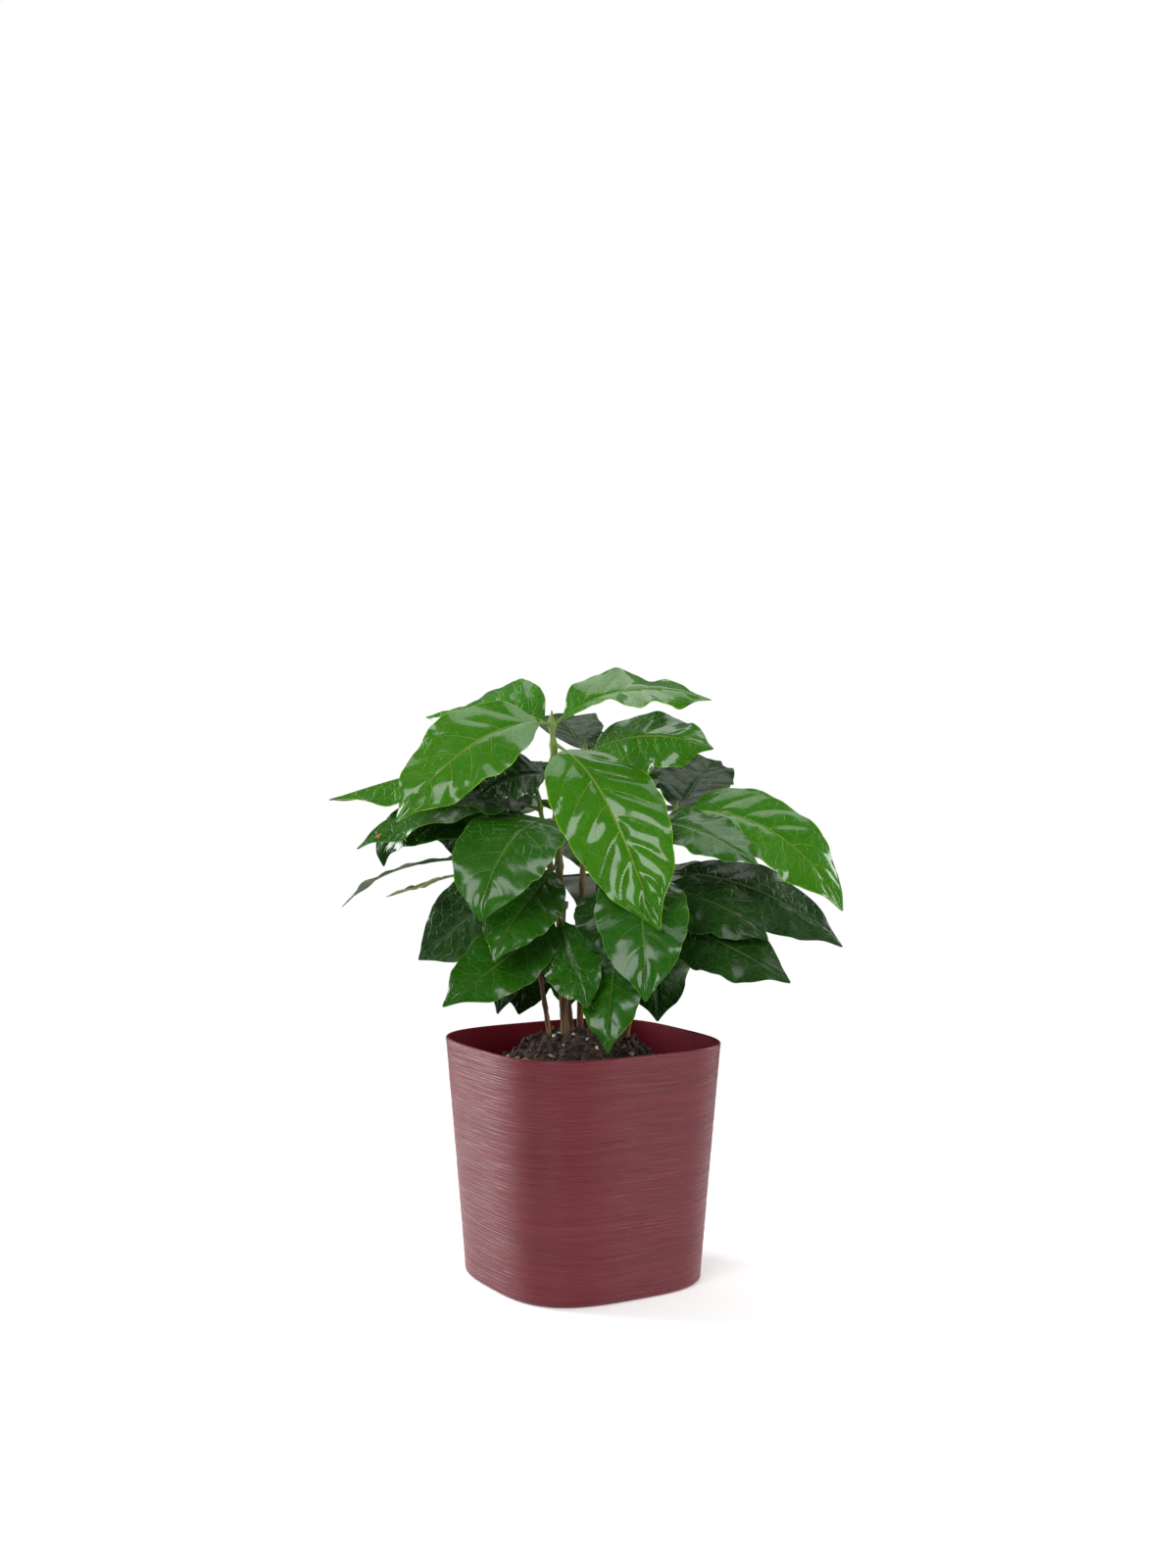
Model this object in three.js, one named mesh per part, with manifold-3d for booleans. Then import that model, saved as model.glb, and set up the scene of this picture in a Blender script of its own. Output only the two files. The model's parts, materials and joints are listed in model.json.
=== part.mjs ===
// A young coffee plant: eight seedlings grown together in one rounded-square planter.
// Millimetres, +Z up. The origin is on the table, under the middle of the planter, whose flat
// sides face the X and Y axes. The planter, the soil, each stem and each leaf are separate pieces.
import * as THREE from "three";
import { mergeVertices } from "three/addons/utils/BufferGeometryUtils.js";
import Module from "manifold-3d";

// Planter
const POT_TOP = 140; // outer width across the flats, at the rim
const POT_BASE = 121; // the same at the foot
const POT_HEIGHT = 136.5;
const POT_WALL = 2.2;
const POT_FLOOR = 3;
const FOOT_ROUNDING = 3;
const TOP_SQUARENESS = 3.4; // superellipse exponent: 2 is a circle, a higher one is squarer
const BASE_SQUARENESS = 3.2;
const POT_SIDES = 48;

// Soil
const SOIL_GAP = 0.4; // clearance to the planter's wall and floor, and to each stem
const SOIL_LEVEL = 112; // height at the planter's wall
const MOUND_HEIGHT = 27; // how far the middle stands above that
const MOUND_RADIUS = 43;
const SOIL_RINGS = 7;
const CLOD_SIZE = 1.3;

// Stems
const STEM_SIDES = 6;
const ROOT_DEPTH = 22; // how far a stem goes down into the soil
const NODE_SWELLING = 1.3; // a stem is this much thicker where leaves grow from it
const BUD_LENGTH = 5;

// Leaves
const BLADE_THICKNESS = 0.8;
const RIB_DEPTH = 0.8; // the midrib stands this far out of the underside
const PETIOLE_RADIUS = 1.1;
const PETIOLE_SHARE = 0.07; // of the whole midrib
const STEM_GAP = 0.3;
const HANDLE = 0.36; // of the chord: how far the curve keeps its first and last direction
const FULLNESS = 0.78; // a lower value brings the widest place nearer to the leaf's base
const WAVES = 3.2; // along each margin
const WAVE_HEIGHT = 1.8;
const ACROSS = [-1, -0.5, 0, 0.5, 1];
const ALONG = [0, 0.045, 0.085, 0.13, 0.19, 0.27, 0.36, 0.45, 0.54, 0.63, 0.72, 0.81, 0.91, 1];

// The plant is turned in its planter. Places on stems and leaves are stated in the plant's own
// frame: x to the right, y to the back and z up from the table, seen from its best side.
const PLANT_TURN = -30.4;

const UP = new THREE.Vector3(0, 0, 1);
const radians = THREE.MathUtils.degToRad;
const lerp = THREE.MathUtils.lerp;
const smoothstep = THREE.MathUtils.smoothstep;

function turned(x, y, z = 0) {
  return new THREE.Vector3(x, y, z).applyAxisAngle(UP, radians(PLANT_TURN));
}

// Each stem runs from its foot, x and y at the soil, to its head. Each leaf grows from its stem at
// the height of its node. tip is where the leaf ends, rise and fall are the slopes at which it sets
// out and ends, look is the way its upper face turns, twist is how far the blade is turned from
// that about its midrib, and fold is how far its halves are raised from the midrib. Slopes, twists
// and folds are in degrees; the last two are at the leaf's base and at its tip.
const STEMS = [
  {
    name: "a",
    foot: [-9, -4],
    head: [-17, -4, 320],
    thickness: 4.8,
    leaves: [
      { node: 317, tip: [-102, -45, 263], width: 53, rise: 8, fall: 50,
        look: [0, -10, 9], fold: [6, -8], age: "young" },
      { node: 318, tip: [74, -4, 331], width: 48, rise: 42, fall: 22,
        look: [0, -4, 9], fold: [30, -26], age: "young" },
      { node: 316, tip: [-93, 44, 322], width: 50, rise: 32, fall: 12,
        look: [0, -3, 9], twist: [-34, 0], fold: [24, -22], age: "young" },
      { node: 305, tip: [42, -66, 205], width: 62, rise: -20, fall: 58,
        look: [-4, -9, 5], twist: [-50, 14], fullness: 0.66, fold: [-4, -4], age: "young" },
      { node: 262, tip: [-55, -56, 209], width: 60, rise: 12, fall: 84,
        look: [-3, -7, 6], twist: [22, -22], fullness: 0.7, fold: [0, 4], age: "mature" },
      { node: 236, tip: [-48, -52, 187], width: 42, rise: -38, fall: 62,
        look: [-1, -9, 4], fold: [5, -5], age: "mature" },
      { node: 212, tip: [-76, -52, 162], width: 44, rise: -45, fall: 32,
        look: [-2, -9, 5], fold: [5, -8], age: "mature" },
      { node: 208, tip: [3, -60, 162], width: 36, rise: -72, fall: 52,
        look: [-3, -9, 5], fold: [5, -5], age: "mature" },
      { node: 288, tip: [-58, -14, 276], width: 40, rise: 10, fall: 45,
        look: [0, -6, 8], fold: [5, -5], age: "old" },
    ],
  },
  {
    name: "b",
    foot: [-1.5, 9],
    head: [2, 20, 304],
    thickness: 3.2,
    leaves: [
      { node: 301, tip: [70, -38, 303], width: 48, rise: 22, fall: 20,
        look: [0, -9, 5], twist: [-10, 0], fold: [-4, -34], age: "mature" },
      { node: 301, tip: [-24, 78, 322], width: 44, rise: 40, fall: 10,
        look: [2, -6, 9], fold: [15, -5], age: "old" },
      { node: 292, tip: [52, 84, 302], width: 46, rise: 30, fall: 25,
        look: [0, -4, 9], fold: [10, -5], age: "mature" },
      { node: 262, tip: [-50, 92, 258], width: 48, rise: 20, fall: 40,
        look: [-1, 3, 9], fold: [10, -10], age: "mature" },
      { node: 228, tip: [18, 96, 190], width: 46, rise: 10, fall: 55,
        look: [0, 6, 8], fold: [8, -8], age: "old" },
      { node: 188, tip: [-9, 26, 149], width: 26, rise: -30, fall: 85,
        look: [0, -9, 2], fold: [0, 0], age: "mature" },
      { node: 252, tip: [8, 88, 224], width: 50, rise: 15, fall: 50,
        look: [0, 2, 9], fold: [10, -8], age: "mature" },
    ],
  },
  {
    name: "c",
    foot: [-3, 1],
    head: [-28, 14, 289],
    thickness: 3.2,
    leaves: [
      { node: 286, tip: [-147, 20, 267], width: 46, rise: 18, fall: 20,
        look: [0, -1, 9], fold: [-18, -45], age: "young" },
      { node: 286, tip: [-78, 84, 288], width: 46, rise: 22, fall: 25,
        look: [0, 1, 9], fold: [8, -12], age: "young" },
      { node: 268, tip: [-128, -10, 246], width: 43, rise: 20, fall: 36,
        look: [0, -3, 9], fold: [4, -10], age: "mature" },
      { node: 275, tip: [-74, -30, 273], width: 34, rise: 4, fall: 2,
        look: [0, -6, 9], fold: [8, -8], age: "old" },
      { node: 250, tip: [-114, 10, 230], width: 38, rise: 20, fall: 105,
        look: [-1, -7, 6], fullness: 1.1, fold: [15, 5], age: "mature" },
      { node: 242, tip: [-92, 30, 247], width: 44, rise: 10, fall: 25,
        look: [0, -9, 4], fold: [5, -5], age: "old" },
      { node: 238, tip: [-88, 72, 214], width: 48, rise: 10, fall: 45,
        look: [-3, 4, 8], fold: [8, -8], age: "mature" },
      { node: 212, tip: [-52, 78, 168], width: 44, rise: 0, fall: 55,
        look: [-1, 7, 7], fold: [8, -8], age: "old" },
    ],
  },
  {
    name: "d",
    foot: [-15, -9],
    head: [-40, 0, 252],
    thickness: 3,
    leaves: [
      { node: 234, tip: [-111, -14, 219], width: 36, rise: 4, fall: 18,
        look: [0, 1, 9], fold: [2, -2], age: "pale" },
      { node: 241, tip: [-138, 2, 212], width: 34, rise: 0, fall: 50,
        look: [0, 0.3, 9], fold: [2, 0], age: "old" },
      { node: 216, tip: [-96, 24, 179], width: 46, rise: 5, fall: 35,
        look: [-2, -9, 2], fold: [0, 0], age: "old" },
      { node: 198, tip: [-37, 22, 147], width: 40, rise: -30, fall: 60,
        look: [-1, -9, 2], fold: [0, 0], age: "old" },
      { node: 192, tip: [-49, 10, 149], width: 22, rise: -30, fall: 75,
        look: [-2, -8, 2], fold: [0, 0], age: "old" },
      { node: 200, tip: [-98, 52, 186], width: 44, rise: 15, fall: 40,
        look: [-3, 2, 8], fold: [5, -8], age: "mature" },
    ],
  },
  {
    name: "e",
    foot: [3.5, -8],
    head: [10, -14, 232],
    thickness: 3,
    leaves: [
      { node: 224, tip: [11, -25, 180], width: 34, rise: -45, fall: 85,
        look: [0, -9, 2], fold: [0, -5], age: "old" },
    ],
  },
  {
    name: "f",
    foot: [8.5, -5],
    head: [38, -18, 268],
    thickness: 3,
    leaves: [
      { node: 262, tip: [96, -52, 240], width: 39, rise: 4, fall: 34,
        look: [1, -6, 8], fold: [0, -8], age: "mature" },
      { node: 190, tip: [14, -62, 138], width: 36, rise: -20, fall: 85,
        look: [-2, -9, 3], fold: [5, -5], age: "mature" },
      { node: 236, tip: [34, -76, 168], width: 52, rise: -12, fall: 80,
        look: [0, -9, 4], fold: [-4, -4], age: "mature" },
    ],
  },
  {
    name: "g",
    foot: [12.5, 5],
    head: [26, 24, 286],
    thickness: 3.2,
    leaves: [
      { node: 283, tip: [70, 66, 290], width: 44, rise: 20, fall: 30,
        look: [0, -4, 9], fold: [10, -8], age: "mature" },
      { node: 283, tip: [14, 112, 280], width: 48, rise: 25, fall: 40,
        look: [0, 3, 9], fold: [10, -8], age: "mature" },
      { node: 256, tip: [84, 86, 258], width: 48, rise: 20, fall: 35,
        look: [2, 3, 9], fold: [8, -8], age: "mature" },
      { node: 232, tip: [96, 66, 196], width: 48, rise: 5, fall: 50,
        look: [4, 5, 7], fold: [8, -8], age: "old" },
      { node: 206, tip: [44, 84, 160], width: 44, rise: 0, fall: 60,
        look: [1, 7, 7], fold: [8, -8], age: "old" },
    ],
  },
  {
    name: "h",
    foot: [22, -3],
    head: [54, 2, 268],
    thickness: 3.4,
    leaves: [
      { node: 265, tip: [148, -14, 211], width: 50, rise: 16, fall: 66,
        look: [1, -7, 7], fold: [6, -8], age: "young" },
      { node: 266, tip: [88, 60, 292], width: 44, rise: 27, fall: 0,
        look: [-3, -7, 5], fold: [12, 0], age: "old" },
      { node: 258, tip: [112, 4, 252], width: 36, rise: 22, fall: 60,
        look: [0, -6, 7], fold: [-5, -15], age: "old" },
      { node: 232, tip: [154, 28, 186], width: 43, rise: 0, fall: 42,
        look: [1, -9, 4], fullness: 0.95, fold: [-30, -22], age: "old" },
      { node: 226, tip: [103, -40, 197], width: 42, rise: -14, fall: 40,
        look: [1, -8, 6], fold: [-16, -12], age: "old" },
      { node: 206, tip: [114, -52, 175], width: 42, rise: -10, fall: 28,
        look: [1, -8, 5], fold: [-4, -12], age: "old" },
      { node: 196, tip: [45, 34, 141], width: 44, rise: -30, fall: 98,
        look: [1, -9, 1], fold: [0, 0], age: "old" },
      { node: 222, tip: [62, 48, 172], width: 44, rise: 0, fall: 60,
        look: [4, 4, 7], fold: [5, -8], age: "old" },
    ],
  },
];

const MATERIALS = {
  planter: new THREE.MeshStandardMaterial({ color: 0x74303f, roughness: 0.55, metalness: 0 }),
  soil: new THREE.MeshStandardMaterial({ color: 0x2c1f18, roughness: 0.95, metalness: 0 }),
  stem: new THREE.MeshStandardMaterial({ color: 0x6e4a2c, roughness: 0.8, metalness: 0 }),
  young: new THREE.MeshStandardMaterial({ color: 0x3f8a14, roughness: 0.28, metalness: 0 }),
  mature: new THREE.MeshStandardMaterial({ color: 0x24631a, roughness: 0.28, metalness: 0 }),
  old: new THREE.MeshStandardMaterial({ color: 0x173f1a, roughness: 0.28, metalness: 0 }),
  pale: new THREE.MeshStandardMaterial({ color: 0x6d7f45, roughness: 0.5, metalness: 0 }),
};

// One closed surface through rings that hold the same even number of points, seen anticlockwise
// from the last ring's side. The quads of both halves of a ring are split alike, so that the two
// faces of a thin blade never cross.
function loft(rings) {
  const n = rings[0].length;
  const half = n / 2;
  const index = [];
  for (let r = 0; r + 1 < rings.length; r++) {
    for (let i = 0; i < n; i++) {
      const a = r * n + i;
      const b = r * n + ((i + 1) % n);
      const forward = i % half >= (half - 1) / 2;
      if (forward) index.push(a, b, b + n, a, b + n, a + n);
      else index.push(a, b, a + n, b, b + n, a + n);
    }
  }
  const last = (rings.length - 1) * n;
  for (let i = 0; i + 1 < half; i++) {
    const j = n - 1 - i;
    index.push(i, j, j - 1, i, j - 1, i + 1);
    index.push(last + i, last + j - 1, last + j, last + i, last + i + 1, last + j - 1);
  }
  const geometry = new THREE.BufferGeometry().setFromPoints(rings.flat());
  return geometry.setIndex(index);
}

const wasm = await Module();
wasm.setup();

function solidFrom(geometry) {
  const bare = new THREE.BufferGeometry().setAttribute("position", geometry.getAttribute("position"));
  const merged = mergeVertices(bare.setIndex(geometry.index), 1e-4);
  const triVerts = new Uint32Array(merged.index.array);
  return new wasm.Manifold(
    new wasm.Mesh({ numProp: 3, vertProperties: merged.attributes.position.array, triVerts }),
  );
}

function geometryFrom(solid) {
  const { vertProperties, triVerts } = solid.getMesh();
  const position = new THREE.BufferAttribute(vertProperties, 3);
  const geometry = new THREE.BufferGeometry().setAttribute("position", position);
  return geometry.setIndex(new THREE.BufferAttribute(triVerts, 1));
}

// Planter

// A rounded square: points at equal angles on a superellipse of the given width.
function roundedSquare(width, squareness, z) {
  return Array.from({ length: POT_SIDES }, (_, i) => {
    const angle = (2 * Math.PI * (i + 0.5)) / POT_SIDES;
    const c = Math.cos(angle);
    const s = Math.sin(angle);
    const size = (Math.abs(c) ** squareness + Math.abs(s) ** squareness) ** (-1 / squareness);
    return new THREE.Vector3((c * size * width) / 2, (s * size * width) / 2, z);
  });
}

// The planter's section at height z, with its wall drawn in by inset on each side.
function potSection(z, inset) {
  const share = z / POT_HEIGHT;
  const width = lerp(POT_BASE, POT_TOP, share) - 2 * inset;
  return roundedSquare(width, lerp(BASE_SQUARENESS, TOP_SQUARENESS, share), z);
}

function planter() {
  const rimRounding = POT_WALL / 4;
  return loft([
    potSection(0, FOOT_ROUNDING),
    potSection(FOOT_ROUNDING * 0.3, FOOT_ROUNDING * 0.3),
    potSection(FOOT_ROUNDING, 0),
    potSection(POT_HEIGHT - rimRounding, 0),
    potSection(POT_HEIGHT, rimRounding),
    potSection(POT_HEIGHT, POT_WALL - rimRounding),
    potSection(POT_HEIGHT - rimRounding, POT_WALL),
    potSection(POT_FLOOR, POT_WALL),
  ]);
}

// Soil

function soilHeight(x, y) {
  const distance = Math.hypot(x, y) / MOUND_RADIUS;
  const clods = Math.sin(x * 0.31 + 1.3) * Math.cos(y * 0.27 - 0.6) + 0.6 * Math.sin(x * 0.7 - y * 0.6);
  return SOIL_LEVEL + MOUND_HEIGHT / (1 + distance ** 5) + CLOD_SIZE * clods;
}

function soil() {
  const inset = POT_WALL + SOIL_GAP;
  const edge = potSection(SOIL_LEVEL, inset);
  const surface = [];
  for (let ring = 0; ring < SOIL_RINGS; ring++) {
    const share = 1 - ring / SOIL_RINGS;
    const ground = (x, y) => new THREE.Vector3(x, y, soilHeight(x, y));
    surface.push(edge.map((p) => ground(p.x * share, p.y * share)));
  }
  const walls = [potSection(POT_FLOOR + SOIL_GAP, inset), edge.map((p) => p.clone())];
  walls[1].forEach((p) => (p.z = Math.min(SOIL_LEVEL - 4, p.z)));
  return loft([...walls, ...surface]);
}

// Stems

function stemRadius(stem, z) {
  const share = (z - SOIL_LEVEL) / (stem.head[2] - SOIL_LEVEL);
  return (stem.thickness / 2) * lerp(1.05, 0.62, Math.min(1, Math.max(0, share)));
}

// The middle of a stem at height z: it leaves the soil nearly straight and leans out as it climbs.
function stemMiddle(stem, z) {
  const share = Math.max(0, (z - SOIL_LEVEL) / (stem.head[2] - SOIL_LEVEL));
  const lean = 0.65 * share + 0.35 * share ** 2;
  return turned(lerp(stem.foot[0], stem.head[0], lean), lerp(stem.foot[1], stem.head[1], lean), z);
}

function stemRing(stem, z, radius) {
  const middle = stemMiddle(stem, z);
  return Array.from({ length: STEM_SIDES }, (_, i) => {
    const angle = (2 * Math.PI * i) / STEM_SIDES;
    return new THREE.Vector3(Math.cos(angle), Math.sin(angle), 0).multiplyScalar(radius).add(middle);
  });
}

function stemShape(stem, extra = 0) {
  const top = stem.head[2];
  const foot = SOIL_LEVEL + MOUND_HEIGHT - ROOT_DEPTH;
  const heights = [foot, foot + 10, (foot + top) / 2, top - BUD_LENGTH * 2];
  const rings = heights.map((z) => [z, stemRadius(stem, z)]);
  for (const node of new Set(stem.leaves.map((leaf) => leaf.node))) {
    const alone = heights.every((z) => Math.abs(z - node) > 4);
    if (alone) rings.push([node, stemRadius(stem, node) * NODE_SWELLING]);
  }
  rings.push([top, stemRadius(stem, top)], [top + BUD_LENGTH, 0.5]);
  rings.sort((p, q) => p[0] - q[0]);
  const spaced = rings.filter(([z], i) => i === 0 || z - rings[i - 1][0] > 1.5);
  if (extra) spaced[0][0] -= 1;
  return loft(spaced.map(([z, radius]) => stemRing(stem, z, radius + extra)));
}

// Leaves

// Half the blade's width at a share of its length, as a share of its full half width: full and
// round by the petiole, widest before the middle, and drawn out into a drip tip.
function outline(share, fullness) {
  if (share <= 0 || share >= 1) return 0;
  const body = Math.sin(Math.PI * share ** fullness) ** (fullness * 0.92);
  return body * (1 - 0.55 * smoothstep(share, 0.8, 1));
}

// The midrib's curve, from the stem's surface to the tip, swung sideways and lifted about its root.
function midrib(leaf, swing, lift) {
  const root = stemMiddle(leaf.stem, leaf.node);
  const reach = turned(...leaf.tip).sub(root).applyAxisAngle(UP, radians(swing));
  const outward = new THREE.Vector3(reach.x, reach.y, 0).normalize();
  reach.applyAxisAngle(new THREE.Vector3().crossVectors(outward, UP), radians(lift));
  const slope = (degrees) => {
    const level = outward.clone().multiplyScalar(Math.cos(radians(degrees)));
    return level.addScaledVector(UP, Math.sin(radians(degrees)));
  };
  const clearance = stemRadius(leaf.stem, leaf.node) * NODE_SWELLING + STEM_GAP + PETIOLE_RADIUS * 0.15;
  const start = root.clone().addScaledVector(outward, clearance);
  const end = root.clone().add(reach);
  const handle = start.distanceTo(end) * HANDLE;
  return new THREE.CubicBezierCurve3(
    start,
    start.clone().addScaledVector(slope(leaf.rise + lift), handle),
    end.clone().addScaledVector(slope(lift - leaf.fall), -handle),
    end,
  );
}

function leafShape(leaf, swing, lift, roll, skin = 0) {
  const curve = midrib(leaf, swing, lift);
  const look = turned(...leaf.look).applyAxisAngle(UP, radians(swing));
  const rings = ALONG.map((along, station) => {
    const share = (along - PETIOLE_SHARE) / (1 - PETIOLE_SHARE);
    const middle = curve.getPoint(along);
    const ahead = curve.getTangent(along);
    if (station === 0) ahead.setZ(0).normalize();
    const face = look.clone().addScaledVector(ahead, -look.dot(ahead)).normalize();
    const twist = leaf.twist ? lerp(leaf.twist[0], leaf.twist[1], along) : 0;
    face.applyAxisAngle(ahead, radians(roll + twist));
    const side = new THREE.Vector3().crossVectors(ahead, face);
    const blade = smoothstep(share, 0, 0.12);
    const tail = station === ALONG.length - 1 ? 0.5 : PETIOLE_RADIUS;
    const reach = Math.max(tail, (leaf.width / 2) * outline(share, leaf.fullness ?? FULLNESS));
    const fold = radians(lerp(leaf.fold[0], leaf.fold[1], along)) * blade;
    const stalk = lerp(PETIOLE_RADIUS * 0.8, BLADE_THICKNESS / 2, blade);
    const point = (across, sheet) => {
      const out = Math.abs(across) * reach;
      const phase = leaf.phase + (across < 0 ? 0 : 2.1) + share * WAVES * 2 * Math.PI;
      const wave = blade * WAVE_HEIGHT * Math.abs(across) ** 2 * Math.sin(phase) * Math.min(1, reach / 12);
      const rib = across === 0 && sheet < 0 ? RIB_DEPTH * blade * (1 - along) : 0;
      const bulge = lerp(Math.sqrt(1 - 0.8 * across ** 2), 1, blade);
      const height = out * Math.sin(fold) + wave + sheet * (stalk * bulge + rib + skin);
      return middle
        .clone()
        .addScaledVector(side, Math.sign(across) * (out * Math.cos(fold) + skin))
        .addScaledVector(face, height);
    };
    return [...ACROSS.map((v) => point(v, 1)), ...[...ACROSS].reverse().map((v) => point(v, -1))];
  });
  return loft(rings);
}

// Small changes to try on a leaf that touches another, the gentlest first: degrees that it is
// swung sideways, lifted and rolled.
const TURNS = [];
for (const swing of [0, -3, 3, -6, 6, -10, 10, -14, 14, -19, 19, -25, 25]) {
  for (const lift of [0, -3, 3, -6, 6, -10, 10, -14, 14, -19, 19]) {
    for (const roll of [0, -8, 8, -18, 18]) TURNS.push([swing, lift, roll]);
  }
}
TURNS.sort((p, q) => Math.hypot(p[0], p[1], p[2] / 2) - Math.hypot(q[0], q[1], q[2] / 2));
const LEAF_GAP = 0.35;
const SMALL_OVERLAP = 0.001;

function overlaps(solid, others) {
  return others.some((other) => solid.intersect(other).volume() > SMALL_OVERLAP);
}

// Swings, lifts or rolls a leaf about its root until it is clear of all that is already placed.
function placeClear(leaf, ownStem, placed) {
  for (const [swing, lift, roll] of TURNS) {
    const swollen = solidFrom(leafShape(leaf, swing, lift, roll, LEAF_GAP));
    if (overlaps(swollen, placed)) continue;
    const geometry = leafShape(leaf, swing, lift, roll);
    if (!overlaps(solidFrom(geometry), [ownStem])) return geometry;
  }
  throw new Error("no room for " + leaf.name);
}

// Assembly

const group = new THREE.Group();

function add(name, geometry, material) {
  geometry.computeVertexNormals();
  const mesh = new THREE.Mesh(geometry, material);
  mesh.name = name;
  group.add(mesh);
}

const planterShape = planter();
add("planter", planterShape, MATERIALS.planter);

const stems = STEMS.map((stem) => ({ stem, geometry: stemShape(stem) }));
stems.forEach(({ stem, geometry }) => add("stem_" + stem.name, geometry, MATERIALS.stem));

// The stems stand in plain holes in the soil.
const holes = STEMS.map((stem) => solidFrom(stemShape(stem, SOIL_GAP)));
const soilSolid = holes.reduce((ground, hole) => ground.subtract(hole), solidFrom(soil()));
add("soil", geometryFrom(soilSolid), MATERIALS.soil);

// The leaves nearest the front are placed first, and the others find room behind them.
const leaves = STEMS.flatMap((stem) =>
  stem.leaves.map((leaf, i) => {
    const name = `leaf_${stem.name}${i + 1}`;
    return { ...leaf, stem, name, phase: i * 1.7 + leaf.node };
  }),
);
leaves.sort((p, q) => p.tip[1] - q.tip[1]);
const stemSolids = new Map(stems.map(({ stem, geometry }) => [stem, solidFrom(geometry)]));
const leafSolids = [];
const around = [solidFrom(planterShape), soilSolid];
for (const leaf of leaves) {
  const otherStems = [...stemSolids].filter(([stem]) => stem !== leaf.stem).map(([, solid]) => solid);
  const geometry = placeClear(leaf, stemSolids.get(leaf.stem), [...around, ...otherStems, ...leafSolids]);
  leafSolids.push(solidFrom(geometry));
  add(leaf.name, geometry, MATERIALS[leaf.age]);
}

export default group;
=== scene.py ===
# %% [markdown]
# # A potted coffee plant
# Eight coffee seedlings share one rounded-square pot. The measured model of the plant is loaded
# first and never moves. Every piece made here lies where that model says, and takes its place.
# The pieces could be shaped by eye, but then shape and measure would drift apart, so each one
# reads its route or its rings from the measured node that it stands for.

# %% Load the measured model
import json
import math
import random

import bpy
import numpy as np
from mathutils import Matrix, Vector, noise


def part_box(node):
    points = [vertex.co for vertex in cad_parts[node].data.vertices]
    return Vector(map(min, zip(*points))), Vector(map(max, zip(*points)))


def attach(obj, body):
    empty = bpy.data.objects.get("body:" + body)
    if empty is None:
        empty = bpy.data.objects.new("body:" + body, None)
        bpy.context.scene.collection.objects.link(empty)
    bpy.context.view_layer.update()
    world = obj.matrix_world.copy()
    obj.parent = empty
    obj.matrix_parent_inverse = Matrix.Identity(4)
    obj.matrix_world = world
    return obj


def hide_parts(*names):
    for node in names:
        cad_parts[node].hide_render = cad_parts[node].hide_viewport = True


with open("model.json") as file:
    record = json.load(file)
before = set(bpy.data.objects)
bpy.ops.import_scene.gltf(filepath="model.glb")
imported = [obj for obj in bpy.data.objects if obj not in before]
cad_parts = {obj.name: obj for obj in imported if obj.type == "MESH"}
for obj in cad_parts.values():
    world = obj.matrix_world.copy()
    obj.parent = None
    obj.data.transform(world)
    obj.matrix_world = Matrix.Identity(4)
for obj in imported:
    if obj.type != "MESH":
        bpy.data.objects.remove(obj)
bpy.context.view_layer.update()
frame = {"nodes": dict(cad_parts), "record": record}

MM = 0.001
record = frame["record"]
slot_of = {part["node"]: part["material_slot"] for part in record["subparts"]}

# %% [markdown]
# ## Camera
# The plant was photographed from a little over one metre away, with its pot turned so that a
# corner comes forward. A view could be found by trying, but the rim and the foot of the pot fix
# it: they give the turn, the distance, the height and the lens. The camera comes first, so that
# every later step can be looked at.

# %% Camera
VIEW_TURN = math.radians(-30.4)
CAMERA_DISTANCE = 1046.1 * MM
CAMERA_HEIGHT = 302.7 * MM
FOCAL_PIXELS = 1858.5
IMAGE_LONG_SIDE = 1600
SENSOR = 36
AHEAD = (0.0034, 1, -0.01904)


def seen(x, y, z):
    """A point given as right, back and up from where the camera stands, in the model's own axes."""
    c = math.cos(VIEW_TURN)
    s = math.sin(VIEW_TURN)
    return Vector((x * c - y * s, x * s + y * c, z))


bpy.ops.object.select_all(action="DESELECT")
bpy.ops.object.camera_add(location=seen(0, -CAMERA_DISTANCE, CAMERA_HEIGHT))
camera = bpy.context.object
camera.name = "camera"
camera.data.sensor_width = SENSOR
camera.data.lens = FOCAL_PIXELS / IMAGE_LONG_SIDE * SENSOR
camera.rotation_euler = seen(*AHEAD).to_track_quat("-Z", "Y").to_euler()
bpy.context.scene.camera = camera
print("lens in mm:", round(camera.data.lens, 2))

# %% [markdown]
# ## A small language for finishes
# The real surfaces vary all over: veins, bark, brushed plastic. A picture of them would be fixed
# to one size, so each finish is worked out by a node tree instead. Numbers in it are wrapped so
# that sums can be written as sums, and every other node comes from one method that takes its
# kind, its settings and its sockets.


# %% Finishes as sums
class Number:
    """A number that changes over a surface."""

    def __init__(self, finish, socket):
        self.finish = finish
        self.socket = socket

    def math(self, operation, *values):
        return self.finish.math(operation, *values)

    def __add__(self, other):
        return self.math("ADD", self, other)

    def __radd__(self, other):
        return self.math("ADD", other, self)

    def __sub__(self, other):
        return self.math("SUBTRACT", self, other)

    def __rsub__(self, other):
        return self.math("SUBTRACT", other, self)

    def __mul__(self, other):
        return self.math("MULTIPLY", self, other)

    def __rmul__(self, other):
        return self.math("MULTIPLY", other, self)

    def __abs__(self):
        return self.math("ABSOLUTE", self)

    def step(self, low, high):
        """0 below low and 1 above high, with a soft change between. Low may be the higher one."""
        return self.finish.add(
            "ShaderNodeMapRange",
            {"interpolation_type": "SMOOTHSTEP"},
            {"Value": self, "From Min": low, "From Max": high},
        )


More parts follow.
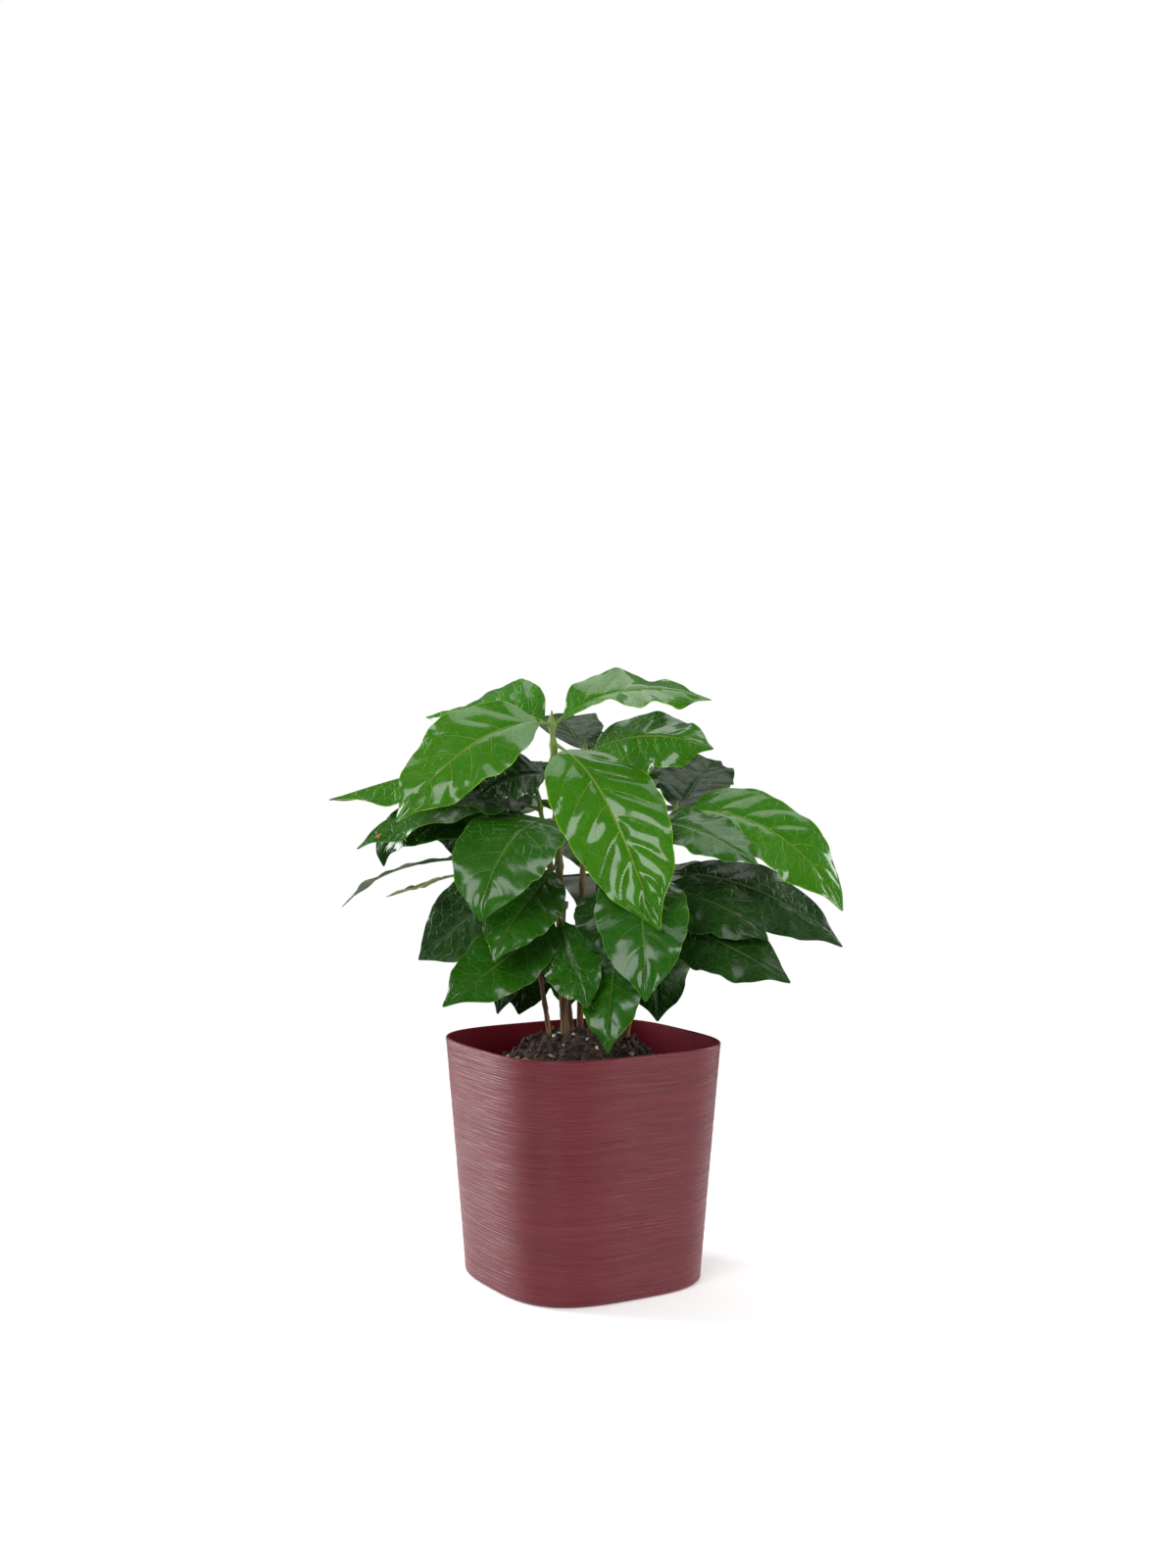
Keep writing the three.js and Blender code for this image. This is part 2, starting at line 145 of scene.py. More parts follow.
class Finish:
    """A material and the nodes that are added to it."""

    def __init__(self, name, roughness, **constants):
        self.material = bpy.data.materials.new(name)
        self.material.use_nodes = True
        self.tree = self.material.node_tree
        self.shader = self.tree.nodes["Principled BSDF"]
        self.shader.inputs["Roughness"].default_value = roughness
        for socket, value in constants.items():
            self.shader.inputs[socket.replace("_", " ")].default_value = value

    def connect(self, socket, value):
        if isinstance(value, Number):
            self.tree.links.new(value.socket, socket)
        elif isinstance(value, tuple) and len(value) == 3 and socket.type == "RGBA":
            socket.default_value = (*value, 1)
        else:
            socket.default_value = value

    def add(self, kind, settings=None, sockets=None, out=0):
        node = self.tree.nodes.new(kind)
        for name, value in (settings or {}).items():
            setattr(node, name, value)
        for name, value in (sockets or {}).items():
            self.connect(node.inputs[name], value)
        return Number(self, node.outputs[out])

    def math(self, operation, *values):
        return self.add("ShaderNodeMath", {"operation": operation}, dict(enumerate(values)))

    def mix(self, share, first, second):
        """A colour between two others."""
        return self.add("ShaderNodeMix", {"data_type": "RGBA"}, {0: share, 6: first, 7: second}, 2)

    def place(self, scale=(1, 1, 1)):
        """Object coordinates, in metres, stretched by a scale."""
        where = self.add("ShaderNodeTexCoord", out=3)
        return self.add("ShaderNodeMapping", None, {"Vector": where, "Scale": scale})

    def noise(self, scale, detail=3, where=None, roughness=0.55):
        sockets = {"Scale": scale, "Detail": detail, "Roughness": roughness}
        return self.add("ShaderNodeTexNoise", None, {"Vector": where or self.place(), **sockets})

    def surface(self, along):
        """The piece's own map: 0 is its share along the piece and 1 the share across it."""
        where = self.add("ShaderNodeUVMap", {"uv_map": "surface"})
        return self.add("ShaderNodeSeparateXYZ", None, {0: where}, along)

    def bump(self, height, distance, strength=1.0):
        sockets = {"Height": height, "Distance": distance, "Strength": strength}
        return self.add("ShaderNodeBump", None, sockets)

    def feed(self, **values):
        for name, value in values.items():
            self.connect(self.shader.inputs[name.replace("_", " ")], value)


# %% [markdown]
# ## Leaf finish
# A coffee leaf is waxy and glossy above. Its midrib and side veins are paler lines pressed into
# the blade, its edge has a thin pale line, and between the side veins runs a fine net. Young
# leaves are yellow-green and old ones a dark green. Veins could be cut as grooves alone, or only
# be coloured. Here both come from the leaf's own map by one rule, so colour and shape agree. A
# small orange-brown blemish marks one leaf on the left.

# %% Veins of a leaf
VEIN_PAIRS = 7
VEIN_LEAN = 0.12
VEIN_ARCH = 0.11
SIDE_SHIFT = 0.42


def vein_numbers(finish):
    """How far along, how far from the midrib, and how far from the nearest side vein."""
    along = finish.surface(0)
    across = finish.surface(1) * 2 - 1
    out = abs(across)
    left = across.step(0.001, -0.001)
    turn = (along - out * VEIN_LEAN - out * out * VEIN_ARCH) * VEIN_PAIRS + left * SIDE_SHIFT
    return along, out, finish.math("PINGPONG", turn, 0.5)


# %% Upper side of a leaf
NET_SCALE = 160
BLEMISH_PLACE = (-0.1046, 0.0509, 0.2534)
BLEMISH_SIZE = 0.0022
BLEMISH_COLOUR = (0.50, 0.12, 0.02)


def leaf_top(name, blade, bright, vein, edge, coat=0.9, sharp=0.13, roughness=0.36):
    finish = Finish(name, roughness, Coat_Weight=coat, Coat_Roughness=sharp)
    finish.feed(Specular_IOR_Level=0.1)
    along, out, gap = vein_numbers(finish)
    cloudy = finish.noise(14, 2).step(0.3, 0.7)
    fine = finish.noise(420, 3)
    ribs = gap.step(0.04, 0.01) * out.step(1.0, 0.55) * along.step(0.99, 0.8)
    middle = out.step(0.038, 0.014) * along.step(1.02, 0.6)
    net = finish.add(
        "ShaderNodeTexVoronoi",
        {"feature": "DISTANCE_TO_EDGE"},
        {"Vector": finish.place(), "Scale": NET_SCALE, "Randomness": 0.9},
    )
    lines = net.step(0.13, 0.0)
    colour = finish.mix(cloudy * 0.75 + fine * 0.25, blade, bright)
    colour = finish.mix(gap.step(0.5, 0.1) * 0.22, colour, bright)
    colour = finish.mix(lines * 0.08, colour, vein)
    colour = finish.mix(ribs * 0.55, colour, vein)
    colour = finish.mix(middle * 0.9, colour, vein)
    colour = finish.mix(out.step(0.972, 0.995) * 0.75, colour, edge)
    ends = {0: finish.place(), 1: BLEMISH_PLACE}
    away = finish.add("ShaderNodeVectorMath", {"operation": "DISTANCE"}, ends, 1)
    blemish = (away + fine * 0.002).step(BLEMISH_SIZE + 0.001, BLEMISH_SIZE)
    colour = finish.mix(blemish, colour, BLEMISH_COLOUR)
    crinkles = finish.noise(230, 3) * 2.4 + fine * 0.5
    dents = gap.step(0.0, 0.06) * 1.4 - lines * 1.1 + crinkles - middle * 0.8
    gloss = finish.noise(55, 3) * 0.16 + finish.noise(300, 2) * 0.1 + (roughness - 0.12)
    finish.feed(Base_Color=colour, Roughness=gloss, Normal=finish.bump(dents, 0.0004, 1.0))
    return finish.material


# %% Underside of a leaf
def leaf_under(name, blade, vein):
    finish = Finish(name, 0.55)
    _, out, gap = vein_numbers(finish)
    ribs = gap.step(0.06, 0.01) * out.step(1.0, 0.6)
    cloudy = finish.noise(30, 3)
    colour = finish.mix(cloudy, blade, tuple(c * 0.8 for c in blade))
    colour = finish.mix(ribs * 0.7, colour, vein)
    relief = ribs + finish.noise(700, 2) * 0.3
    finish.feed(Base_Color=colour, Normal=finish.bump(relief, 0.0004, 0.7))
    return finish.material


# %% Stalk of a leaf
def leaf_stalk(name, colour):
    finish = Finish(name, 0.42)
    mottled = finish.noise(160, 3)
    shade = finish.mix(mottled, colour, tuple(c * 0.62 for c in colour))
    finish.feed(Base_Color=shade, Normal=finish.bump(finish.noise(900, 2), 0.0002))
    return finish.material


# %% Finishes for leaves of each age
leaf_finishes = {
    "leaf_young": (
        leaf_top(
            "young_leaf_top",
            blade=(0.024, 0.165, 0.0),
            bright=(0.048, 0.215, 0.0),
            vein=(0.25, 0.52, 0.02),
            edge=(0.27, 0.56, 0.02),
        ),
        leaf_under("young_leaf_under", (0.17, 0.27, 0.06), (0.28, 0.38, 0.12)),
        leaf_stalk("young_leaf_stalk", (0.19, 0.33, 0.04)),
    ),
    "leaf_mature": (
        leaf_top(
            "mature_leaf_top",
            blade=(0.010, 0.090, 0.0005),
            bright=(0.020, 0.125, 0.001),
            vein=(0.13, 0.31, 0.03),
            edge=(0.12, 0.30, 0.02),
            coat=0.75,
            sharp=0.2,
        ),
        leaf_under("mature_leaf_under", (0.10, 0.17, 0.045), (0.2, 0.28, 0.1)),
        leaf_stalk("mature_leaf_stalk", (0.12, 0.22, 0.03)),
    ),
    "leaf_old": (
        leaf_top(
            "old_leaf_top",
            blade=(0.006, 0.040, 0.002),
            bright=(0.012, 0.062, 0.003),
            vein=(0.08, 0.18, 0.03),
            edge=(0.07, 0.18, 0.02),
            coat=0.35,
            sharp=0.24,
        ),
        leaf_under("old_leaf_under", (0.06, 0.10, 0.035), (0.13, 0.19, 0.08)),
        leaf_stalk("old_leaf_stalk", (0.07, 0.12, 0.025)),
    ),
    "leaf_pale": (
        leaf_top(
            "pale_leaf_top",
            blade=(0.15, 0.21, 0.05),
            bright=(0.2, 0.25, 0.08),
            vein=(0.3, 0.36, 0.14),
            edge=(0.3, 0.34, 0.12),
            coat=0.6,
            sharp=0.2,
            roughness=0.45,
        ),
        leaf_under("pale_leaf_under", (0.19, 0.24, 0.09), (0.3, 0.34, 0.16)),
        leaf_stalk("pale_leaf_stalk", (0.2, 0.25, 0.08)),
    ),
}
print("leaf finishes:", len(leaf_finishes) * 3)

# %% [markdown]
# ## Reading a measured leaf
# In the measured model a leaf is a thin closed skin through rings of ten points. The finer leaf
# could be wrapped round that skin, but its edge would then be blurred. So the rings are found
# again, by walking from the flat end of the stalk to the tip, one layer of neighbours at a time.
# The midrib stands out below, and that tells the upper sheet from the lower one.

# %% Rings of points
RING = 10
SAME_PLANE = 0.9999
WELD_DIGITS = 7


def welded(node):
    """A node's corners with doubles merged, and its triangles."""
    mesh = frame["nodes"][node].data
    mesh.calc_loop_triangles()
    corners = np.array([v.co for v in mesh.vertices])
    triangles = np.array([t.vertices for t in mesh.loop_triangles])
    points, index = np.unique(np.round(corners, WELD_DIGITS), axis=0, return_inverse=True)
    return points, index.reshape(-1)[triangles]


def flat_ends(points, triangles):
    """The two groups of triangles in one plane that close the ends of a leaf's skin."""
    a, b, c = (points[triangles[:, i]] for i in range(3))
    normals = np.cross(b - a, c - a)
    normals /= np.linalg.norm(normals, axis=1)[:, None]
    group = list(range(len(triangles)))

    def root(i):
        while group[i] != i:
            i = group[i]
        return i

    edges = {}
    for t, corners in enumerate(triangles):
        for i in range(3):
            edge = tuple(sorted((corners[i], corners[(i + 1) % 3])))
            other = edges.setdefault(edge, t)
            if other != t and normals[t] @ normals[other] > SAME_PLANE:
                group[root(t)] = root(other)
    members = {}
    for t in range(len(triangles)):
        members.setdefault(root(t), []).append(t)
    ends = [set(triangles[m].ravel()) for m in members.values() if len(m) == RING - 2]
    ends = [end for end in ends if len(end) == RING]
    spread = [np.ptp(points[list(end)], axis=0).sum() for end in ends]
    return [ends[i] for i in np.argsort(spread)[::-1]]


def by_angle(points, ring):
    """The ring's points in turning order, for a ring that is round enough."""
    ring = list(ring)
    offsets = points[ring] - points[ring].mean(0)
    _, _, axes = np.linalg.svd(offsets)
    angles = np.arctan2(offsets @ axes[1], offsets @ axes[0])
    return [ring[i] for i in np.argsort(angles)]


def by_edges(ring, neighbours):
    """The ring's points in turning order, each joined to the next by an edge."""
    order = [min(ring)]
    while len(order) < len(ring):
        onward = [n for n in neighbours[order[-1]] if n in ring and n not in order]
        order.append(onward[0])
    return order


def matched(points, ring, before):
    """The ring turned, and reversed if need be, to lie most like the ring before it."""
    target = points[before] - points[before].mean(0)
    best = None
    for way in (ring, ring[::-1]):
        for turn in range(RING):
            trial = way[turn:] + way[:turn]
            misfit = np.abs(points[trial] - points[trial].mean(0) - target).sum()
            if best is None or misfit < best[0]:
                best = (misfit, trial)
    return best[1]


def leaf_rings(node):
    """All rings of a leaf as an array: ring, point on the ring, place."""
    points, triangles = welded(node)
    neighbours = [set() for _ in points]
    for a, b, c in triangles:
        neighbours[a] |= {b, c}
        neighbours[b] |= {a, c}
        neighbours[c] |= {a, b}
    base, tip = flat_ends(points, triangles)[:2]
    rings = [by_angle(points, base)]
    used = set(base)
    layer = base
    while len(used) < len(points):
        layer = set().union(*(neighbours[p] for p in layer)) - used
        used |= layer
        order = by_angle(points, layer) if layer == tip else by_edges(layer, neighbours)
        rings.append(matched(points, order, rings[-1]))
    return points[np.array(rings)]


# %% Upper and lower sheet
def leaf_sheets(node):
    """The middle surface of a leaf's blade, five points across on each ring, and its upward side."""
    rings = leaf_rings(node)
    wide = rings[4:9]
    steps = np.linalg.norm(wide - np.roll(wide, 1, axis=1), axis=2).sum(0)
    first = int(np.argmin(steps + np.roll(steps, -5)))
    rings = np.roll(rings, -first, axis=1)
    upper = rings[:, :5]
    lower = rings[:, :4:-1]
    middle = (upper + lower) / 2
    up = upper - lower
    up /= np.linalg.norm(up, axis=2)[:, :, None]
    from_edges = (2 * middle[:, 1] - middle[:, 0] + 2 * middle[:, 3] - middle[:, 4]) / 2
    offset = ((middle[:, 2] - from_edges) * up[:, 2]).sum(1)
    if offset[3:11].sum() > 0:
        upper, lower, up = lower, upper, -up
    half = np.linalg.norm(upper - lower, axis=2)[:, [1, 3]].mean(1) / 2
    middle[:, 2] = upper[:, 2] - up[:, 2] * half[:, None]
    ahead = middle[8, 2] - middle[5, 2]
    left = middle[7, 4] - middle[7, 0]
    if np.cross(ahead, left) @ up[7, 2] < 0:
        middle = middle[:, ::-1]
        up = up[:, ::-1]
    return middle, up, float(offset[3:11].sum())


leaf_names = sorted(n for n in frame["nodes"] if n.startswith("leaf_"))
sheets = {name: leaf_sheets(name) for name in leaf_names}
margins = [abs(s[2]) / MM for s in sheets.values()]
print("leaves read:", len(sheets), "rings:", {s[0].shape[0] for s in sheets.values()})
print("clearest and least clear upper side, mm:", round(max(margins), 2), round(min(margins), 2))

# %% [markdown]
# ## Shape of a leaf
# A real blade is under half a millimetre thick and puffed up like a quilt between its side
# veins, with the midrib in a shallow groove and a slightly waved margin. Each leaf could be drawn
# on its own. All share one plan, though, so one flat master leaf is made first: a grid whose own
# map says how far along and across each point lies. It is copied for every leaf, laid on that
# leaf's middle surface and given its thickness.

# %% Master blade
ALONG_CELLS = 96
ACROSS_CELLS = 32
MIDRIB_CROWDING = 1.35

bpy.ops.object.select_all(action="DESELECT")
bpy.ops.mesh.primitive_grid_add(
    x_subdivisions=ALONG_CELLS, y_subdivisions=ACROSS_CELLS, size=1, calc_uvs=True
)
master_blade = bpy.context.object
master_blade.name = "master_blade"
master_blade.data.uv_layers[0].name = "surface"
flat = np.array([v.co for v in master_blade.data.vertices])
share_along = flat[:, 0] + 0.5
share_across = np.sign(flat[:, 1]) * np.abs(flat[:, 1] * 2) ** MIDRIB_CROWDING
for corner, loop in zip(master_blade.data.uv_layers[0].data, master_blade.data.loops):
    corner.uv = (share_along[loop.vertex_index], share_across[loop.vertex_index] / 2 + 0.5)
print("master blade corners:", len(flat))

# %% Master stalk
STALK_SIDES = 8
STALK_STEPS = 40

bpy.ops.object.select_all(action="DESELECT")
bpy.ops.mesh.primitive_cylinder_add(vertices=STALK_SIDES, radius=1, depth=1, end_fill_type="NGON")
master_stalk = bpy.context.object
master_stalk.name = "master_stalk"
bpy.ops.object.mode_set(mode="EDIT")
bpy.ops.mesh.select_all(action="DESELECT")
bpy.ops.object.mode_set(mode="OBJECT")
for edge in master_stalk.data.edges:
    a, b = (master_stalk.data.vertices[i].co for i in edge.vertices)
    edge.select = abs(a.z - b.z) > 0.5
bpy.ops.object.mode_set(mode="EDIT")
bpy.ops.mesh.subdivide(number_cuts=STALK_STEPS - 1)
bpy.ops.object.mode_set(mode="OBJECT")
stalk_flat = np.array([v.co for v in master_stalk.data.vertices])
print("master stalk corners:", len(stalk_flat))


# %% Curves through measured points
def through(stations, values, shares):
    """A smooth curve through values at the stations, read at each share."""
    slopes = np.gradient(values, stations, axis=0)
    at = np.clip(np.searchsorted(stations, shares) - 1, 0, len(stations) - 2)
    width = (stations[at + 1] - stations[at])[:, None]
    t = ((shares - stations[at]) / width[:, 0])[:, None]
    flat_values = values.reshape(len(stations), -1)
    flat_slopes = slopes.reshape(len(stations), -1)
    start = (2 * t**3 - 3 * t**2 + 1) * flat_values[at]
    start += (t**3 - 2 * t**2 + t) * width * flat_slopes[at]
    end = (3 * t**2 - 2 * t**3) * flat_values[at + 1]
    end += (t**3 - t**2) * width * flat_slopes[at + 1]
    return (start + end).reshape(len(shares), *values.shape[1:])


def on_blade(five, across):
    """A value between the five measured ones across a ring: each half blade is its own curve."""
    out = np.abs(across)[:, None]
    near = np.where(across[:, None] < 0, five[:, 1], five[:, 3])
    edge = np.where(across[:, None] < 0, five[:, 0], five[:, 4])
    centre = five[:, 2] * (1 - out) * (1 - 2 * out)
    return centre + near * 4 * out * (1 - out) + edge * out * (2 * out - 1)


def smooth(value, low, high):
    t = np.clip((value - low) / (high - low), 0, 1)
    return t * t * (3 - 2 * t)


# %% Quilting and waves of a blade
QUILT = 1.25 * MM
GROOVE = 0.5 * MM
RIPPLE = 0.35 * MM
WAVE = 1.2 * MM
SWAY = 0.35 * MM
SCALLOP = 0.03
MIDRIB_WIDTH = 1.1 * MM
USUAL_HALF_WIDTH = 25 * MM


def blade_relief(along, across, half_width, seed, fullness):
    """How far each point stands off the middle surface."""
    out = np.abs(across)
    turn = (along - out * VEIN_LEAN - out**2 * VEIN_ARCH) * VEIN_PAIRS + (across < 0) * SIDE_SHIFT
    gap = np.abs((turn + 0.5) % 1 - 0.5)
    puffed = 1 - (1 - 2 * gap) ** 2.4
    inside = smooth(out, 0.0, 0.22) * (1 - 0.65 * smooth(out, 0.7, 1))
    ends = smooth(along, 0.04, 0.2) * (1 - smooth(along, 0.86, 1))
    scale = half_width / USUAL_HALF_WIDTH
    quilt = fullness * QUILT * puffed * inside * ends * scale
    groove = GROOVE * np.exp(-((out * half_width / MIDRIB_WIDTH) ** 2)) * ends
    phase = seed * 2.4
    ripple = RIPPLE * out**3 * np.sin(turn * 2 * math.pi + 0.8) * ends * scale
    side = np.where(across < 0, 1.7, 0)
    wave = WAVE * out**2 * np.sin(along * 15 + phase + side) * ends * scale
    sway = SWAY * np.sin(along * 9 + phase) * np.cos(across * 2.5 + seed) * ends
    return quilt - groove + ripple + wave + sway * inside


def scalloped(along, across):
    """Across places drawn in a little where a side vein nears the margin."""
    out = np.abs(across)
    turn = (along - VEIN_LEAN - VEIN_ARCH) * VEIN_PAIRS + (across < 0) * SIDE_SHIFT
    notch = (0.5 + 0.5 * np.cos(turn * 2 * math.pi)) ** 2
    middle_part = smooth(along, 0.12, 0.3) * (1 - smooth(along, 0.8, 0.92))
    return across * (1 - SCALLOP * notch * out**2 * middle_part)


# %% Laying a blade and a stalk on a measured leaf
BLADE_START = 0.06
BLADE_THICKNESS = 0.42 * MM
STALK_RADIUS = 1.05 * MM
STALK_REACH = 1.6 * MM
STALK_END = 0.93
FULLNESS = {"leaf_a4": 1.15, "leaf_a1": 0.55, "leaf_b1": 0.3, "leaf_h5": 1.0, "leaf_h1": 0.8}


def leaf_stations(middle):
    """Each ring's share of the way along the midrib."""
    steps = np.linalg.norm(np.diff(middle[:, 2], axis=0), axis=1)
    return np.concatenate([[0], np.cumsum(steps)]) / steps.sum()


def laid_blade(name, seed):
    """Places of the master blade's points when it lies on a measured leaf."""
    middle, up, _ = sheets[name]
    stations = leaf_stations(middle)
    half_width = np.linalg.norm(middle[:, 4] - middle[:, 0], axis=1).max() / 2
    shares = BLADE_START + share_along * (1 - BLADE_START)
    places = on_blade(through(stations, middle, shares), scalloped(share_along, share_across))
    normals = on_blade(through(stations, up, shares), share_across)
    normals /= np.linalg.norm(normals, axis=1)[:, None]
    fullness = FULLNESS.get(name, 0.3 + 0.4 * random.Random(seed).random())
    relief = blade_relief(share_along, share_across, half_width, seed, fullness)
    return places + normals * relief[:, None]


def laid_stalk(name):
    """Places of the master stalk's points: it runs on under the blade as the midrib."""
    middle, up, _ = sheets[name]
    stations = leaf_stations(middle)
    share = np.clip(stalk_flat[:, 2] + 0.5, 0, 1)
    centre = through(stations, middle[:, 2], share * STALK_END)
    ahead = through(stations, middle[:, 2], share * STALK_END + 0.01) - centre
    ahead /= np.linalg.norm(ahead, axis=1)[:, None]
    above = through(stations, up[:, 2], share * STALK_END)
    side = np.cross(ahead, above)
    side /= np.linalg.norm(side, axis=1)[:, None]
    above = np.cross(side, ahead)
    slimmer = 0.25 * smooth(share, 0, 0.08) + 0.6 * smooth(share, 0.08, 1) ** 0.7
    radius = STALK_RADIUS * (1 - slimmer)
    radius *= 1 + 0.35 * smooth(share, 0.03, 0)
    sunk = radius * 0.85 * smooth(share, 0.03, 0.12)
    back = STALK_REACH * (share < 1e-4)
    around = side * stalk_flat[:, 0:1] + above * stalk_flat[:, 1:2]
    return centre + around * radius[:, None] - above * sunk[:, None] - ahead * back[:, None]


# %% All leaves
def put_places(obj, places):
    """Moves a mesh's points to new places."""
    obj.data.vertices.foreach_set("co", np.asarray(places, np.float32).ravel())
    obj.data.update()


def own_copy(master, name):
    """A copy of an object, with a mesh of its own."""
    copy = master.copy()
    copy.data = master.data.copy()
    copy.name = name
    copy.data.name = name
    bpy.context.scene.collection.objects.link(copy)
    return copy


def only(*objects):
    """Selects just these objects, and makes the first one active."""
    bpy.ops.object.select_all(action="DESELECT")
    for obj in objects:
        obj.select_set(True)
    bpy.context.view_layer.objects.active = objects[0]


def stands_for(obj, node):
    """Puts a finished piece in the place of the measured node."""
    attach(obj, "root")
    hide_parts(node)


LOOKS_YOUNG = ("leaf_b1",)


def make_leaf(node, seed):
    age = "leaf_young" if node in LOOKS_YOUNG else slot_of[node]
    top, under, stalk_finish = leaf_finishes[age]
    blade = own_copy(master_blade, "coffee_" + node)
    put_places(blade, laid_blade(node, seed))
    for material in (top, under, stalk_finish):
        blade.data.materials.append(material)
    only(blade)
    solid = blade.modifiers.new("thickness", "SOLIDIFY")
    solid.thickness = BLADE_THICKNESS
    solid.offset = 0
    solid.material_offset = 1
    bpy.ops.object.modifier_apply(modifier="thickness")
    stalk = own_copy(master_stalk, "stalk")
    put_places(stalk, laid_stalk(node))
    stalk.data.materials.append(stalk_finish)
    only(blade, stalk)
    bpy.ops.object.join()
    bpy.ops.object.shade_smooth_by_angle(angle=math.radians(50))
    stands_for(blade, node)
    return blade


leaves = [make_leaf(node, seed) for seed, node in enumerate(leaf_names)]
print("leaves made:", len(leaves), "faces each:", len(leaves[0].data.polygons))

# %% [markdown]
# ## Stems
# A coffee seedling's stem is brown and woody at the foot and green near its growing tip. Pairs
# of leaves leave it at swollen joints, and lower down the joints show where leaves have fallen.
# A bevelled curve would give a smooth tube. The joints, the uneven bark and the taper need rings
# of their own, so each stem is a circle that is extruded ring by ring up the measured route.

# %% Stem finish
GREEN_FROM = 0.235
GREEN_ABOVE = 0.315


def stem_finish():
    finish = Finish("coffee_stem", 0.72)
    height = finish.add("ShaderNodeSeparateXYZ", None, {0: finish.place()}, 2)
    streaks = finish.noise(260, 4, finish.place((1, 1, 0.16)))
    flecks = finish.noise(900, 3)
    bark = finish.mix(streaks.step(0.35, 0.7), (0.065, 0.030, 0.012), (0.23, 0.12, 0.045))
    bark = finish.mix(flecks.step(0.62, 0.72) * 0.4, bark, (0.28, 0.18, 0.09))
    green = finish.mix(streaks, (0.09, 0.17, 0.02), (0.22, 0.3, 0.05))
    share = (height + finish.noise(60, 2) * 0.05).step(GREEN_FROM, GREEN_ABOVE)
    relief = streaks + flecks * 0.5
    finish.feed(
        Base_Color=finish.mix(share, bark, green),
        Roughness=0.78 - share * 0.32,
        Normal=finish.bump(relief, 0.0005, 0.8),
    )
    return finish.material


# %% Extruding a stem
STEM_STEPS = 64
STEM_SIDES = 16
TIP_RADIUS = 0.25 * MM
JOINT_SWELLING = 0.55 * MM
JOINT_LENGTH = 2.2 * MM
SCARS = 4
SCAR_HEIGHTS = (0.13, 0.24)
SCAR_SWELLING = 0.3 * MM
SCAR_LENGTH = 1.6 * MM


def stem_route(node):
    """Heights, middles and radii of a measured stem, from its level rings."""
    points, _ = welded(node)
    levels = np.unique(np.round(points[:, 2], 5))
    rings = [points[np.abs(points[:, 2] - z) < 2e-5] for z in levels]
    middles = np.array([ring.mean(0) for ring in rings])
    radii = np.array([np.linalg.norm(ring - ring.mean(0), axis=1).mean() for ring in rings])
    return levels, middles, radii


def joint_heights(node):
    """The heights at which this stem's leaves leave it."""
    letter = node.split("_")[1]
    mine = [name for name in leaf_names if name.split("_")[1][0] == letter]
    return [sheets[name][0][0, 2, 2] for name in mine]


def make_stem(node, seed):
    levels, middles, radii = stem_route(node)
    heights = np.linspace(levels[0], levels[-1], STEM_STEPS)
    centre = through(levels, middles, heights)
    radius = np.interp(heights, levels, radii)
    picks = random.Random(seed)
    scars = [picks.uniform(*SCAR_HEIGHTS) for _ in range(SCARS)]
    for joint in joint_heights(node):
        radius += JOINT_SWELLING * np.exp(-(((heights - joint) / JOINT_LENGTH) ** 2))
    for scar in scars:
        radius += SCAR_SWELLING * np.exp(-(((heights - scar) / SCAR_LENGTH) ** 2))
    radius[-1] = TIP_RADIUS
    bpy.ops.object.select_all(action="DESELECT")
    bpy.ops.mesh.primitive_circle_add(
        vertices=STEM_SIDES, radius=radius[0], fill_type="NGON", location=centre[0]
    )
    stem = bpy.context.object
    stem.name = "coffee_" + node
    bpy.ops.object.transform_apply(location=True)
    bpy.ops.object.mode_set(mode="EDIT")
    bpy.ops.mesh.select_all(action="SELECT")
    for i in range(1, STEM_STEPS):
        step = centre[i] - centre[i - 1]
        grow = radius[i] / radius[i - 1]
        bpy.ops.mesh.extrude_region_move(TRANSFORM_OT_translate={"value": step})
        bpy.ops.transform.resize(value=(grow, grow, 1), center_override=centre[i])
    bpy.ops.mesh.select_all(action="SELECT")
    bpy.ops.mesh.normals_make_consistent(inside=False)
    bpy.ops.object.mode_set(mode="OBJECT")
    for vertex in stem.data.vertices:
        rough = noise.noise(vertex.co * 420) * 0.22 + noise.noise(vertex.co * 150) * 0.3
        at = through(levels, middles, np.array([vertex.co.z]))[0]
        away = Vector((vertex.co.x - at[0], vertex.co.y - at[1], 0))
        if away.length > TIP_RADIUS + 0.05 * MM:
            vertex.co += away.normalized() * rough * MM
    stem.data.materials.append(STEM_FINISH)
    bpy.ops.object.shade_smooth()
    stands_for(stem, node)
    return stem


STEM_FINISH = stem_finish()
stem_names = sorted(n for n in frame["nodes"] if n.startswith("stem_"))
stems = [make_stem(node, seed) for seed, node in enumerate(stem_names)]
print("stems made:", len(stems))

# %% [markdown]
# ## Planter
# The pot is a moulded plastic shell with a fine horizontal grain, like brushed wood. It could be
# a bevelled box, but its plan changes from foot to rim and has no straight side. So it starts as
# a flat disc that is extruded up the outside, over the rim and down the inside, and its points
# are then drawn out from a circle to a rounded square by one formula.

# %% Planter finish
BERRY_DARK = (0.116, 0.011, 0.017)
BERRY = (0.145, 0.017, 0.024)
BERRY_LIGHT = (0.22, 0.055, 0.072)


